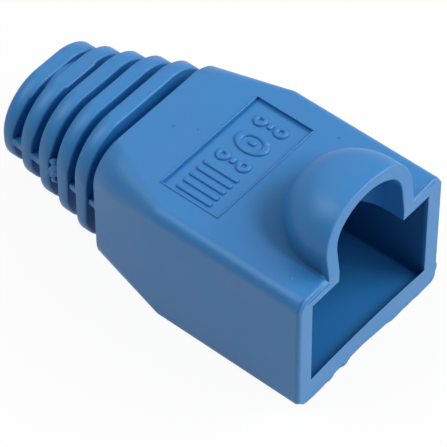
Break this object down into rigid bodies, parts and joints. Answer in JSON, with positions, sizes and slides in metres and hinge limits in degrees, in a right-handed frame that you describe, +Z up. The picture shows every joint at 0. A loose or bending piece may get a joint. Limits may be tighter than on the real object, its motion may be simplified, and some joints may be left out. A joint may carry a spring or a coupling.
{
  "type": "rj45 strain relief boot",
  "caption": "Soft boot for an 8P8C plug: rectangular socket, latch hood on top, and a ribbed tapering tail with a round bore for the cable.",
  "frame": {"origin": "under the middle of the boot, on the surface its flat base stands on", "axes": "X across the boot, mouth for the plug towards -Y, ribbed tail towards +Y, hood and +Z up"},
  "size_m": [0.0144, 0.0276, 0.0151],
  "materials": {
    "boot": "satin soft PVC, moulded"
  },
  "bodies": {
    "root": {"boot": "boot"}
  },
  "joints": []
}
